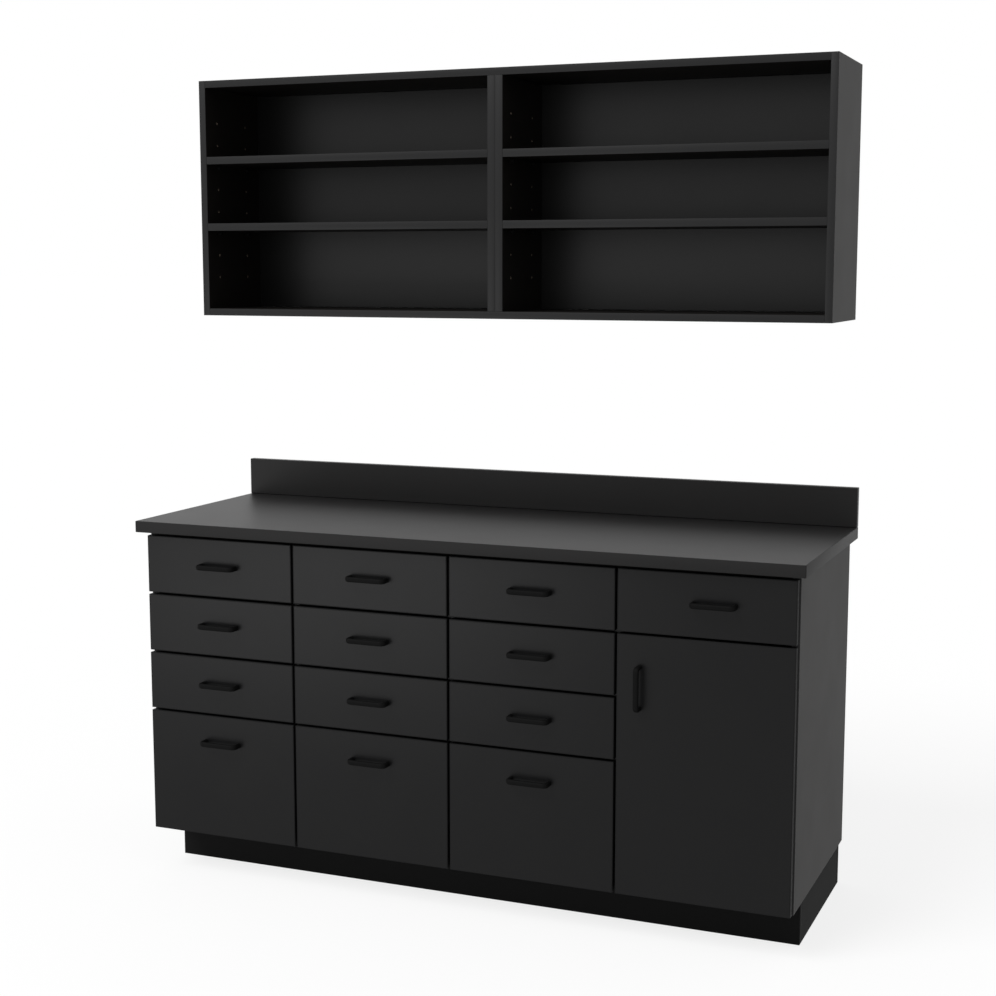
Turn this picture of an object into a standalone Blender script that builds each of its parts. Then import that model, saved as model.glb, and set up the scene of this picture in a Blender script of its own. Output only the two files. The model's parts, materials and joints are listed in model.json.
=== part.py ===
"""Pharmacy base cabinet with drawers and a cupboard, and an open wall unit with adjustable shelves above it.

Units are metres, +Z is up, the fronts face -Y and the wall is at +Y. The origin is on the floor, in the
middle of the worktop's outline.
"""

import math

import bmesh
import bpy
from mathutils import Matrix, Vector

OBJECT_NAME = "pharmacy_cabinet"

# Worktop and upstand
WORKTOP_WIDTH = 1.707
WORKTOP_DEPTH = 0.592
WORKTOP_HEIGHT = 0.9144
WORKTOP_THICKNESS = 0.0286
UPSTAND_HEIGHT = 0.099
UPSTAND_THICKNESS = 0.019
SIDE_OVERHANG = 0.019
FRONT_OVERHANG = 0.0215
EASED_EDGE = 0.0015

# Base carcass
PANEL = 0.019
BACK_THICKNESS = 0.006
BACK_INSET = 0.012
RAIL_DEPTH = 0.089
PLINTH_HEIGHT = 0.1114
PLINTH_INSET = 0.0076
TOE_RECESS = 0.1272
COLUMN_NAMES = "abcd"

# Drawer fronts and door
FRONT_THICKNESS = 0.019
FRONT_GAP = 0.006
TOP_REVEAL = 0.0095
SMALL_FRONT_HEIGHT = 0.1448
SMALL_ROWS = 3

# Drawer boxes and their slides
BOX_WALL = 0.012
BOX_BOTTOM = 0.006
BOX_BOTTOM_INSET = 0.010
BOX_FLOOR_CLEARANCE = 0.007
BOX_TOP_CLEARANCE = 0.004
BOX_BACK_SPACE = 0.047
RUNNER_SPACE = 0.0127
RUNNER_HEIGHT = 0.035
RUNNER_WEB = 0.003
RUNNER_LIP = 0.003
RUNNER_RISE = 0.040
RUNNER_SETBACK = 0.003

# Bow pulls
PULL_LENGTH = 0.106
PULL_HEIGHT = 0.013
PULL_THICKNESS = 0.010
PULL_PROJECTION = 0.028
PULL_BEND = 0.014
PULL_CHAMFER = 0.0030
PULL_DROP = 0.0690
CUPBOARD_DRAWER_PULL_SHIFT = 0.020
DOOR_PULL_DROP = 0.122
DOOR_PULL_EDGE = 0.053

# Concealed hinges
HINGE_INSET = 0.100
CUP_RADIUS = 0.0175
CUP_WALL = 0.0025
CUP_DEPTH = 0.0115
CUP_EDGE = 0.0225
FLANGE_THICKNESS = 0.001
FLANGE_WIDTH = 0.016
FLANGE_LENGTH = 0.052
DOOR_CLEARANCE = 0.001
ARM_WIDTH = 0.011
ARM_HEIGHT = 0.016
ARM_REACH = 0.006
PLATE_THICKNESS = 0.003
PLATE_WIDTH = 0.040
PLATE_HEIGHT = 0.060
PLATE_SETBACK = 0.020

# Cupboard shelf
CUPBOARD_SHELF_RISE = 0.300
CUPBOARD_SHELF_SETBACK = 0.060

# Wall unit
WALL_UNIT_WIDTH = 1.665
WALL_UNIT_BOTTOM = 1.4224
WALL_UNIT_HEIGHT = 0.605
WALL_UNIT_DEPTH = 0.279
WALL_BOARD = 0.018
UPRIGHT = 0.0195
WALL_BACK = 0.012
SHELF_BOARD = 0.019

# Shelf pins and their holes
HOLE_MARGIN = 0.100
HOLE_PITCH = 0.0571
HOLE_RADIUS = 0.003
HOLE_DEPTH = 0.010
PIN_RADIUS = 0.006
PIN_LENGTH = 0.009
PIN_FRONT_INSET = 0.056
PIN_BACK_INSET = 0.080
LOWER_SHELF_HOLE = 2
UPPER_SHELF_HOLE = 5

# Gaps between pieces that touch, and the running gap of the slides
SEAT_GAP = 0.0003
SLIDE_GAP = 0.0005

# How finely round pieces are faceted, and how close points count as one
PIN_SIDES = 12
HOLE_SIDES = 8
CUP_SIDES = 24
BEND_STEPS = 4
WELD_DISTANCE = 0.00001

# How far a joined feature is let into the board that carries it, and how far a cutter runs past a face
LET_IN = 0.004
OVERCUT = 0.002

# Places worked out from the sizes above
WALL_Y = WORKTOP_DEPTH / 2
UNDERSIDE = WORKTOP_HEIGHT - WORKTOP_THICKNESS
CARCASS_WIDTH = WORKTOP_WIDTH - 2 * SIDE_OVERHANG
CARCASS_SIDE = CARCASS_WIDTH / 2
COLUMN_PITCH = CARCASS_WIDTH / len(COLUMN_NAMES)
FRONT_Y = FRONT_OVERHANG - WORKTOP_DEPTH / 2
FRONT_BACK_Y = FRONT_Y + FRONT_THICKNESS
CARCASS_Y = FRONT_BACK_Y + FLANGE_THICKNESS + DOOR_CLEARANCE
BACK_PANEL_Y = WALL_Y - BACK_INSET - BACK_THICKNESS
FLOOR_TOP = PLINTH_HEIGHT + PANEL
RAIL_BOTTOM = UNDERSIDE - SEAT_GAP - PANEL
FRONT_TOP = UNDERSIDE - TOP_REVEAL
ROW_PITCH = SMALL_FRONT_HEIGHT + FRONT_GAP
BOX_RISE = PANEL + BOX_FLOOR_CLEARANCE
BOX_DROP = PANEL + BOX_TOP_CLEARANCE
BOX_BACK_Y = BACK_PANEL_Y - BOX_BACK_SPACE
CUPBOARD_COLUMN = len(COLUMN_NAMES) - 1
WALL_UNIT_TOP = WALL_UNIT_BOTTOM + WALL_UNIT_HEIGHT
WALL_UNIT_Y = WALL_Y - WALL_UNIT_DEPTH
WALL_BACK_Y = WALL_Y - WALL_BACK
PIN_ROWS_Y = (WALL_UNIT_Y + PIN_FRONT_INSET, WALL_Y - PIN_BACK_INSET)
HOLE_COUNT = 1 + int((WALL_UNIT_HEIGHT - 2 * HOLE_MARGIN) / HOLE_PITCH)
CUPBOARD_SHELF_BOTTOM = FLOOR_TOP + CUPBOARD_SHELF_RISE
CUPBOARD_SHELF_Y = CARCASS_Y + CUPBOARD_SHELF_SETBACK


def clear_scene():
    """Remove every object that the scene starts with."""
    for item in list(bpy.data.objects):
        bpy.data.objects.remove(item, do_unlink=True)


def new_collection(name):
    """Make a collection under the scene's own one."""
    collection = bpy.data.collections.new(name)
    bpy.context.scene.collection.children.link(collection)
    return collection


def new_finish(name, colour, roughness, metallic=0.0):
    """Make a plain Principled material from a linear colour."""
    material = bpy.data.materials.new(name)
    material.use_nodes = True
    shader = material.node_tree.nodes["Principled BSDF"]
    shader.inputs["Base Color"].default_value = (*colour, 1.0)
    shader.inputs["Roughness"].default_value = roughness
    shader.inputs["Metallic"].default_value = metallic
    return material


class Workshop:
    """Holds the collections and finishes, and turns meshes into named, placed pieces."""

    def __init__(self):
        self.parts = new_collection(OBJECT_NAME)
        self.cutters = new_collection("cutters")
        self.black_laminate = new_finish("black_laminate", (0.030, 0.030, 0.031), 0.55)
        self.worktop_laminate = new_finish("worktop_laminate", (0.055, 0.055, 0.056), 0.60)
        self.black_plastic = new_finish("black_plastic", (0.010, 0.010, 0.011), 0.45)
        self.plated_steel = new_finish("plated_steel", (0.55, 0.55, 0.54), 0.30, 1.0)

    def place(self, item, at, parent=None):
        """Put an object at a place in the room, under a parent that is moved but not turned."""
        offset = Vector(at)
        above = parent
        while above is not None:
            offset -= above.location
            above = above.parent
        item.parent = parent
        item.location = offset

    def empty(self, name, at):
        """Add an empty that carries a unit."""
        item = bpy.data.objects.new(name, None)
        self.parts.objects.link(item)
        self.place(item, at)
        return item

    def piece(self, data, at, finish, parent=None):
        """Make a named piece of the object from a mesh or a curve."""
        item = bpy.data.objects.new(data.name, data)
        self.parts.objects.link(item)
        data.materials.append(finish)
        self.place(item, at, parent)
        return item

    def board(self, name, low, high, finish, parent=None, origin=None):
        """Make a board that fills the space between two corners."""
        at = (Vector(low) + Vector(high)) / 2 if origin is None else Vector(origin)
        mesh = boxes_mesh(name, [(Vector(low) - at, Vector(high) - at)])
        return self.piece(mesh, at, finish, parent)

    def cut(self, target, mesh, operation="DIFFERENCE"):
        """Cut a mesh that is given in the room's frame out of a piece, or join it on."""
        tool = bpy.data.objects.new(mesh.name, mesh)
        self.cutters.objects.link(tool)
        tool.hide_render = True
        tool.display_type = "WIRE"
        self.place(tool, (0, 0, 0), target)
        modifier = target.modifiers.new(mesh.name, "BOOLEAN")
        modifier.operation = operation
        modifier.object = tool

    def join(self, target, mesh):
        """Join a mesh that is given in the room's frame onto a piece."""
        self.cut(target, mesh, "UNION")


def boxes_mesh(name, spans):
    """Make one mesh of boxes, each between two corners."""
    shape = bmesh.new()
    for low, high in spans:
        size = Vector(high) - Vector(low)
        middle = (Vector(high) + Vector(low)) / 2
        bmesh.ops.create_cube(shape, size=1, matrix=Matrix.Translation(middle) @ Matrix.Diagonal((*size, 1)))
    mesh = bpy.data.meshes.new(name)
    shape.to_mesh(mesh)
    shape.free()
    return mesh


def rods_mesh(name, ends, radius, sides):
    """Make one mesh of round rods, each between two points on its axis."""
    shape = bmesh.new()
    for start, end in ends:
        along = Vector(end) - Vector(start)
        turn = Vector((0, 0, 1)).rotation_difference(along).to_matrix().to_4x4()
        middle = (Vector(start) + Vector(end)) / 2
        bmesh.ops.create_cone(
            shape,
            cap_ends=True,
            segments=sides,
            radius1=radius,
            radius2=radius,
            depth=along.length,
            matrix=Matrix.Translation(middle) @ turn,
        )
    mesh = bpy.data.meshes.new(name)
    shape.to_mesh(mesh)
    shape.free()
    return mesh


def ease_edges(item, width):
    """Chamfer the sharp edges of a piece."""
    modifier = item.modifiers.new("eased_edges", "BEVEL")
    modifier.width = width
    modifier.segments = 1
    modifier.limit_method = "ANGLE"


def column_edges(column):
    """Give the x of a column's left and right boundary lines."""
    left = column * COLUMN_PITCH - CARCASS_SIDE
    return left, left + COLUMN_PITCH


def column_opening(column):
    """Give the x of the two panel faces that a column's drawers run between."""
    left, right = column_edges(column)
    left += PANEL if column == 0 else PANEL / 2
    right -= PANEL if column == CUPBOARD_COLUMN else PANEL / 2
    return left, right


def drawer_rows(column):
    """Give the bottom and top height of each drawer front in a column, from the top down."""
    count = 1 if column == CUPBOARD_COLUMN else SMALL_ROWS
    rows = []
    for row in range(count):
        top = FRONT_TOP - row * ROW_PITCH
        rows.append((top - SMALL_FRONT_HEIGHT, top))
    if column != CUPBOARD_COLUMN:
        rows.append((PLINTH_HEIGHT, FRONT_TOP - SMALL_ROWS * ROW_PITCH))
    return rows


def runner_heights(column):
    """Give the middle height of each drawer slide in a column."""
    return [bottom + BOX_RISE + RUNNER_RISE for bottom, _ in drawer_rows(column)]


def add_runners(shop, panel, faces):
    """Join the cabinet members of the slides to a panel.

    Each face is its x, the way it looks (1 or -1) and the column whose drawers run beside it.
    """
    channels = []
    grooves = []
    start = CARCASS_Y + RUNNER_SETBACK
    for x, way, column in faces:
        for middle in runner_heights(column):
            inner = x - way * LET_IN
            outer = x + way * (RUNNER_SPACE - SLIDE_GAP)
            channels.append(span(inner, outer, start, BOX_BACK_Y, middle, RUNNER_HEIGHT))
            inner = x + way * RUNNER_WEB
            outer = x + way * (RUNNER_SPACE + OVERCUT)
            room = RUNNER_HEIGHT - 2 * RUNNER_LIP
            grooves.append(span(inner, outer, start - OVERCUT, BOX_BACK_Y + OVERCUT, middle, room))
    shop.join(panel, boxes_mesh(panel.name + "_channels", channels))
    shop.cut(panel, boxes_mesh(panel.name + "_grooves", grooves))


def span(x_one, x_two, y_low, y_high, middle, height):
    """Give the corners of a box from two x faces in any order and its middle height."""
    low = (min(x_one, x_two), y_low, middle - height / 2)
    high = (max(x_one, x_two), y_high, middle + height / 2)
    return low, high


def add_pins(shop, panel, x, way, heights, rows_y):
    """Join shelf pins to a panel, at each height and row, on the face at x that looks one way (1 or -1)."""
    rods = []
    for height in heights:
        for y in rows_y:
            rods.append(((x - way * LET_IN, y, height), (x + way * PIN_LENGTH, y, height)))
    shop.join(panel, rods_mesh(panel.name + "_pins", rods, PIN_RADIUS, PIN_SIDES))


def add_worktop(shop, base):
    """Make the worktop and the upstand that closes it to the wall."""
    half = WORKTOP_WIDTH / 2
    low = (-half, -WALL_Y, UNDERSIDE)
    worktop = shop.board("worktop", low, (half, WALL_Y, WORKTOP_HEIGHT), shop.worktop_laminate, base)
    ease_edges(worktop, EASED_EDGE)
    low = (-half, WALL_Y - UPSTAND_THICKNESS, WORKTOP_HEIGHT + SEAT_GAP)
    high = (half, WALL_Y, WORKTOP_HEIGHT + UPSTAND_HEIGHT)
    upstand = shop.board("backsplash", low, high, shop.worktop_laminate, base)
    ease_edges(upstand, EASED_EDGE)


def add_plinth(shop, base):
    """Make the toe kick and the boards that carry the carcass behind it."""
    side = CARCASS_SIDE - PLINTH_INSET
    front = FRONT_Y + TOE_RECESS
    top = PLINTH_HEIGHT - SEAT_GAP
    finish = shop.black_laminate
    shop.board("toe_kick", (-side, front, 0), (side, front + PANEL, top), finish, base)
    behind = front + PANEL + SEAT_GAP
    ahead = WALL_Y - PANEL - SEAT_GAP
    shop.board("plinth_left", (-side, behind, 0), (-side + PANEL, ahead, top), finish, base)
    shop.board("plinth_right", (side - PANEL, behind, 0), (side, ahead, top), finish, base)
    shop.board("plinth_back", (-side, WALL_Y - PANEL, 0), (side, WALL_Y, top), finish, base)


def add_carcass(shop, base):
    """Make the boards of the base, with the cabinet members of the slides and the cupboard's pins."""
    finish = shop.black_laminate
    inside = CARCASS_SIDE - PANEL - SEAT_GAP
    top = UNDERSIDE - SEAT_GAP
    behind = BACK_PANEL_Y - SEAT_GAP
    for name, way, column in (("left_side_panel", -1, 0), ("right_side_panel", 1, CUPBOARD_COLUMN)):
        outer = way * CARCASS_SIDE
        inner = outer - way * PANEL
        low = (min(outer, inner), CARCASS_Y, PLINTH_HEIGHT)
        high = (max(outer, inner), WALL_Y, top)
        panel = shop.board(name, low, high, finish, base)
        add_runners(shop, panel, [(inner, -way, column)])
        if column == CUPBOARD_COLUMN:
            add_cupboard_pins(shop, panel, inner, -way)
    for column in range(CUPBOARD_COLUMN):
        middle = column_edges(column)[1]
        low = (middle - PANEL / 2, CARCASS_Y, FLOOR_TOP + SEAT_GAP)
        high = (middle + PANEL / 2, behind, RAIL_BOTTOM - SEAT_GAP)
        panel = shop.board(f"partition_{column + 1}", low, high, finish, base)
        add_runners(shop, panel, [(low[0], -1, column), (high[0], 1, column + 1)])
        if column + 1 == CUPBOARD_COLUMN:
            add_cupboard_pins(shop, panel, high[0], 1)
    low = (-inside, CARCASS_Y, PLINTH_HEIGHT)
    shop.board("bottom_panel", low, (inside, behind, FLOOR_TOP), finish, base)
    low = (-inside, BACK_PANEL_Y, PLINTH_HEIGHT)
    shop.board("back_panel", low, (inside, BACK_PANEL_Y + BACK_THICKNESS, top), finish, base)
    low = (-inside, CARCASS_Y, RAIL_BOTTOM)
    shop.board("top_front_rail", low, (inside, CARCASS_Y + RAIL_DEPTH, top), finish, base)
    low = (-inside, behind - RAIL_DEPTH, RAIL_BOTTOM)
    shop.board("top_back_rail", low, (inside, behind, top), finish, base)


def add_cupboard_pins(shop, panel, x, way):
    """Join the pins under the cupboard shelf to a panel's face."""
    height = CUPBOARD_SHELF_BOTTOM - SEAT_GAP - PIN_RADIUS
    rows_y = (CUPBOARD_SHELF_Y + PIN_FRONT_INSET, BACK_PANEL_Y - PIN_BACK_INSET)
    add_pins(shop, panel, x, way, [height], rows_y)


def add_cupboard_shelf(shop, base):
    """Make the shelf behind the door."""
    left, right = column_opening(CUPBOARD_COLUMN)
    low = (left + SEAT_GAP, CUPBOARD_SHELF_Y, CUPBOARD_SHELF_BOTTOM)
    high = (right - SEAT_GAP, BACK_PANEL_Y - SEAT_GAP, CUPBOARD_SHELF_BOTTOM + PANEL)
    shop.board("cupboard_shelf", low, high, shop.black_laminate, base)


def front_edges(column):
    """Give the x of the left and right edge of the fronts in a column."""
    left, right = column_edges(column)
    return left + FRONT_GAP / 2, right - FRONT_GAP / 2


def pull_outline():
    """Give the outline of a bow pull, with its feet on the line y = 0 and its bar at positive y."""
    half = PULL_LENGTH / 2
    reach = PULL_PROJECTION
    inner = PULL_BEND - PULL_THICKNESS
    outside = []
    inside = []
    for step in range(BEND_STEPS + 1):
        angle = math.pi / 2 * step / BEND_STEPS
        along = half - PULL_BEND + PULL_BEND * math.cos(angle)
        outside.append((along, reach - PULL_BEND + PULL_BEND * math.sin(angle)))
        along = half - PULL_BEND + inner * math.cos(angle)
        inside.append((along, reach - PULL_BEND + inner * math.sin(angle)))
    right = [(half, 0)] + outside
    left = [(-x, y) for x, y in reversed(right)]
    inner_left = [(-x, y) for x, y in [(half - PULL_THICKNESS, 0)] + inside]
    inner_right = [(-x, y) for x, y in reversed(inner_left)]
    return right + left + inner_left + inner_right


def add_pull(shop, name, front, x, z, upright=False):
    """Make a bow pull whose feet stand on a front, lying along it or upright."""
    curve = bpy.data.curves.new(name, "CURVE")
    curve.dimensions = "2D"
    curve.fill_mode = "BOTH"
    curve.extrude = PULL_HEIGHT / 2
    points = pull_outline()
    spline = curve.splines.new("POLY")
    spline.points.add(len(points) - 1)
    for point, (along, out) in zip(spline.points, points):
        point.co = (along, out, 0, 1)
    spline.use_cyclic_u = True
    pull = shop.piece(curve, (x, FRONT_Y - SEAT_GAP, z), shop.black_plastic, front)
    pull.rotation_euler = (math.pi, -math.pi / 2, 0) if upright else (0, 0, math.pi)
    weld = pull.modifiers.new("weld_caps", "WELD")
    weld.merge_threshold = WELD_DISTANCE
    ease_edges(pull, PULL_CHAMFER)


def add_drawer(shop, base, column, row, bottom, top):
    """Make a drawer: its front joined to its box and to the drawer members of its slides, and its pull."""
    name = f"drawer_{COLUMN_NAMES[column]}{row + 1}"
    left, right = front_edges(column)
    low = (left, FRONT_Y, bottom)
    high = (right, FRONT_BACK_Y, top)
    drawer = shop.board(name, low, high, shop.black_laminate, base)
    box_left, box_right = column_opening(column)
    box_left += RUNNER_SPACE
    box_right -= RUNNER_SPACE
    floor = bottom + BOX_RISE
    low = (box_left, FRONT_BACK_Y - LET_IN, floor)
    box = boxes_mesh(name + "_box", [(low, (box_right, BOX_BACK_Y, top - BOX_DROP))])
    reach = RUNNER_SPACE - RUNNER_WEB - SLIDE_GAP
    height = RUNNER_HEIGHT - 2 * RUNNER_LIP - 2 * SLIDE_GAP
    rails = []
    for x, way in ((box_left, -1), (box_right, 1)):
        start = CARCASS_Y + RUNNER_SETBACK
        rails.append(span(x - way * LET_IN, x + way * reach, start, BOX_BACK_Y, floor + RUNNER_RISE, height))
    near = FRONT_BACK_Y + BOX_WALL
    far = BOX_BACK_Y - BOX_WALL
    low = (box_left + BOX_WALL, near, floor + BOX_BOTTOM_INSET + BOX_BOTTOM)
    inside = (low, (box_right - BOX_WALL, far, top))
    low = (box_left + BOX_WALL, near, floor - OVERCUT)
    underneath = (low, (box_right - BOX_WALL, far, floor + BOX_BOTTOM_INSET))
    shop.join(drawer, box)
    shop.join(drawer, boxes_mesh(name + "_rails", rails))
    shop.cut(drawer, boxes_mesh(name + "_hollows", [inside, underneath]))
    shift = CUPBOARD_DRAWER_PULL_SHIFT if column == CUPBOARD_COLUMN else 0
    add_pull(shop, name + "_pull", drawer, (left + right) / 2 + shift, top - PULL_DROP)


def add_door(shop, base):
    """Make the cupboard door, turning on its right-hand back corner, with its pull and hinge cups."""
    left, right = front_edges(CUPBOARD_COLUMN)
    top = FRONT_TOP - ROW_PITCH
    low = (left, FRONT_Y, PLINTH_HEIGHT)
    high = (right, FRONT_BACK_Y, top)
    axis = (right, FRONT_BACK_Y, (PLINTH_HEIGHT + top) / 2)
    door = shop.board("cupboard_door", low, high, shop.black_laminate, base, axis)
    heights = {"upper": top - HINGE_INSET, "lower": PLINTH_HEIGHT + HINGE_INSET}
    cup_x = right - CUP_EDGE
    pockets = []
    for height in heights.values():
        deep = (cup_x, FRONT_BACK_Y - CUP_DEPTH - SEAT_GAP, height)
        pockets.append((deep, (cup_x, FRONT_BACK_Y + OVERCUT, height)))
    shop.cut(door, rods_mesh("hinge_pockets", pockets, CUP_RADIUS + SEAT_GAP, CUP_SIDES))
    for place, height in heights.items():
        add_hinge_cup(shop, f"{place}_hinge_cup", door, cup_x, height)
        add_hinge_arm(shop, f"{place}_hinge_arm", base, height)
    add_pull(shop, "door_pull", door, left + DOOR_PULL_EDGE, top - DOOR_PULL_DROP, True)


def add_hinge_cup(shop, name, door, x, height):
    """Make a hinge's cup, sunk in the door, with its flange on the door's back."""
    seat = FRONT_BACK_Y + SEAT_GAP
    low = (x - FLANGE_WIDTH / 2, seat, height - FLANGE_LENGTH / 2)
    high = (x + FLANGE_WIDTH / 2, seat + FLANGE_THICKNESS, height + FLANGE_LENGTH / 2)
    cup = shop.board(name, low, high, shop.plated_steel, door)
    deep = FRONT_BACK_Y - CUP_DEPTH
    rim = seat + FLANGE_THICKNESS / 2
    body = [((x, deep, height), (x, rim, height))]
    hollow = [((x, deep + CUP_WALL, height), (x, seat + FLANGE_THICKNESS + OVERCUT, height))]
    shop.join(cup, rods_mesh(name + "_body", body, CUP_RADIUS, CUP_SIDES))
    shop.cut(cup, rods_mesh(name + "_hollow", hollow, CUP_RADIUS - CUP_WALL, CUP_SIDES))


def add_hinge_arm(shop, name, base, height):
    """Make a hinge's arm, whose plate is on the side panel and whose end reaches into the cup."""
    face = CARCASS_SIDE - PANEL - SEAT_GAP
    start = CARCASS_Y + PLATE_SETBACK
    low = (face - PLATE_THICKNESS, start, height - PLATE_HEIGHT / 2)
    high = (face, start + PLATE_WIDTH, height + PLATE_HEIGHT / 2)
    arm = shop.board(name, low, high, shop.plated_steel, base)
    inner = face - PLATE_THICKNESS / 2 - ARM_WIDTH
    tip = FRONT_BACK_Y - ARM_REACH
    bar = span(inner, face - PLATE_THICKNESS / 2, tip, start + PLATE_WIDTH - OVERCUT, height, ARM_HEIGHT)
    shop.join(arm, boxes_mesh(name + "_bar", [bar]))


def hole_height(index):
    """Give the height of a shelf-pin hole."""
    return WALL_UNIT_BOTTOM + HOLE_MARGIN + index * HOLE_PITCH


def add_wall_upright(shop, unit, name, hidden_x, shelf_x, bottom, top):
    """Make a side or upright of the wall unit, with pins and free pin holes on the face at shelf_x."""
    low = (min(hidden_x, shelf_x), WALL_UNIT_Y, bottom)
    high = (max(hidden_x, shelf_x), WALL_Y, top)
    panel = shop.board(name, low, high, shop.black_laminate, unit)
    way = math.copysign(1, shelf_x - hidden_x)
    used = (LOWER_SHELF_HOLE, UPPER_SHELF_HOLE)
    add_pins(shop, panel, shelf_x, way, [hole_height(index) for index in used], PIN_ROWS_Y)
    holes = []
    for index in range(HOLE_COUNT):
        if index in used:
            continue
        for y in PIN_ROWS_Y:
            height = hole_height(index)
            holes.append(((shelf_x - way * HOLE_DEPTH, y, height), (shelf_x + way * OVERCUT, y, height)))
    shop.cut(panel, rods_mesh(name + "_holes", holes, HOLE_RADIUS, HOLE_SIDES))


def add_wall_unit(shop):
    """Make the open wall unit with its two bays of adjustable shelves."""
    unit = shop.empty("wall_unit", (0, WALL_Y, WALL_UNIT_BOTTOM))
    finish = shop.black_laminate
    side = WALL_UNIT_WIDTH / 2
    inner = side - WALL_BOARD
    floor = WALL_UNIT_BOTTOM + WALL_BOARD
    ceiling = WALL_UNIT_TOP - WALL_BOARD
    reach = inner - SEAT_GAP
    low = (-reach, WALL_UNIT_Y, WALL_UNIT_BOTTOM)
    shop.board("wall_bottom", low, (reach, WALL_Y, floor), finish, unit)
    low = (-reach, WALL_UNIT_Y, ceiling)
    shop.board("wall_top", low, (reach, WALL_Y, WALL_UNIT_TOP), finish, unit)
    near = SEAT_GAP / 2
    far = near + UPRIGHT
    for place, way in (("left", -1), ("right", 1)):
        name = f"wall_{place}_side"
        add_wall_upright(shop, unit, name, way * side, way * inner, WALL_UNIT_BOTTOM, WALL_UNIT_TOP)
        name = f"wall_{place}_upright"
        bottom = floor + SEAT_GAP
        top = ceiling - SEAT_GAP
        add_wall_upright(shop, unit, name, way * near, way * far, bottom, top)
        low_x, high_x = sorted((way * (far + SEAT_GAP), way * (inner - SEAT_GAP)))
        low = (low_x, WALL_BACK_Y, bottom)
        shop.board(f"wall_{place}_back", low, (high_x, WALL_Y, top), finish, unit)
        for level, index in (("lower", LOWER_SHELF_HOLE), ("upper", UPPER_SHELF_HOLE)):
            bottom = hole_height(index) + PIN_RADIUS + SEAT_GAP
            low = (low_x, WALL_UNIT_Y, bottom)
            high = (high_x, WALL_BACK_Y - SEAT_GAP, bottom + SHELF_BOARD)
            shop.board(f"wall_{place}_{level}_shelf", low, high, finish, unit)


def main():
    """Build the whole object."""
    clear_scene()
    shop = Workshop()
    base = shop.empty("base_unit", (0, 0, 0))
    add_worktop(shop, base)
    add_plinth(shop, base)
    add_carcass(shop, base)
    add_cupboard_shelf(shop, base)
    for column in range(len(COLUMN_NAMES)):
        for row, (bottom, top) in enumerate(drawer_rows(column)):
            add_drawer(shop, base, column, row, bottom, top)
    add_door(shop, base)
    add_wall_unit(shop)


main()
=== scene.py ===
"""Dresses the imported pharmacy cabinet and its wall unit, and sets them in a plain white studio.

Lengths are metres in the part's own frame: +Z is up, the fronts face -Y and the room's wall is at +Y.
"""

import json
import logging
import math
from collections.abc import Callable, Iterator, Sequence
from contextlib import contextmanager
from dataclasses import dataclass, field
from enum import Enum

import bmesh
import bpy
from mathutils import Matrix, Vector

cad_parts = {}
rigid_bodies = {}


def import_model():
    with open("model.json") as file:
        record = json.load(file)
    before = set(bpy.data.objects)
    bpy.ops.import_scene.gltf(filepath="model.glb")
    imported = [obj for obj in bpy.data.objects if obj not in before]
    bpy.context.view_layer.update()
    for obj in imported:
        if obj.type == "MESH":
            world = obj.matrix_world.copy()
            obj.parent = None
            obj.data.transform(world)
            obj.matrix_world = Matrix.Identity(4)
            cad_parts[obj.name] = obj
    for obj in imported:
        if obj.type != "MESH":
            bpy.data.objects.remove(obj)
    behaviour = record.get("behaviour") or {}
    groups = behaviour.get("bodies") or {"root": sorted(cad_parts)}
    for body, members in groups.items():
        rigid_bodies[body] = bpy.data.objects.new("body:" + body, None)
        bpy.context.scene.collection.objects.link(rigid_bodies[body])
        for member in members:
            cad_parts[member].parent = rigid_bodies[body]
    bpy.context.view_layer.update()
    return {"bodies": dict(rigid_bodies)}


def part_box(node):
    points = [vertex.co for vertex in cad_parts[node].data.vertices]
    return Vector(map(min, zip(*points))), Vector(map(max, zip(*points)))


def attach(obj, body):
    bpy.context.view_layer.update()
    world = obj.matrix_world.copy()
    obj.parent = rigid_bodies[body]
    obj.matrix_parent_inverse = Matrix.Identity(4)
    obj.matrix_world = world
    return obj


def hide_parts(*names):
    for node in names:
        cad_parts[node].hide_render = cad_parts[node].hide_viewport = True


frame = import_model()

LOG = logging.getLogger("pharmacy_cabinet")
CABINET = "cabinet"
DOOR = "door"
COLUMNS = "abcd"
SHARP_ANGLE = math.radians(40)
# The least share of a normal along the axis that its face looks along
FLAT = 0.999
# Digits of a metre in which the sizes of two equal drawers agree
SIZE_DIGITS = 5
MM_PER_METRE = 1000.0
WHITE = (1.0, 1.0, 1.0, 1.0)
BACKWARDS = Vector((0, 1, 0))
# The sockets of a Mix node that mixes colours
MIX_SHARE, MIX_A, MIX_B, MIX_RESULT = 0, 6, 7, 2
# The sRGB curve: its straight foot, and the power law above it
SRGB_FOOT, SRGB_SLOPE, SRGB_OFFSET, SRGB_POWER = 0.04045, 12.92, 0.055, 2.4
Edge = bmesh.types.BMEdge
Face = bmesh.types.BMFace
Point = tuple[float, float, float]
Socket = bpy.types.NodeSocket
Tree = bpy.types.NodeTree
# The pattern of a finish's shades and that of its relief, each from 0 to 1
Patterns = tuple[Socket, Socket]


class Axis(Enum):
    """A direction of the part's frame, such as the one that a board's faces look along."""

    X = 0
    Y = 1
    Z = 2


class Element(Enum):
    """What is picked in edit mode."""

    EDGE = "edges"
    FACE = "faces"


class Slot(Enum):
    """The record's material slots."""

    LAMINATE = "black_laminate"
    WORKTOP = "worktop_laminate"
    PLASTIC = "black_plastic"
    STEEL = "plated_steel"


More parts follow.
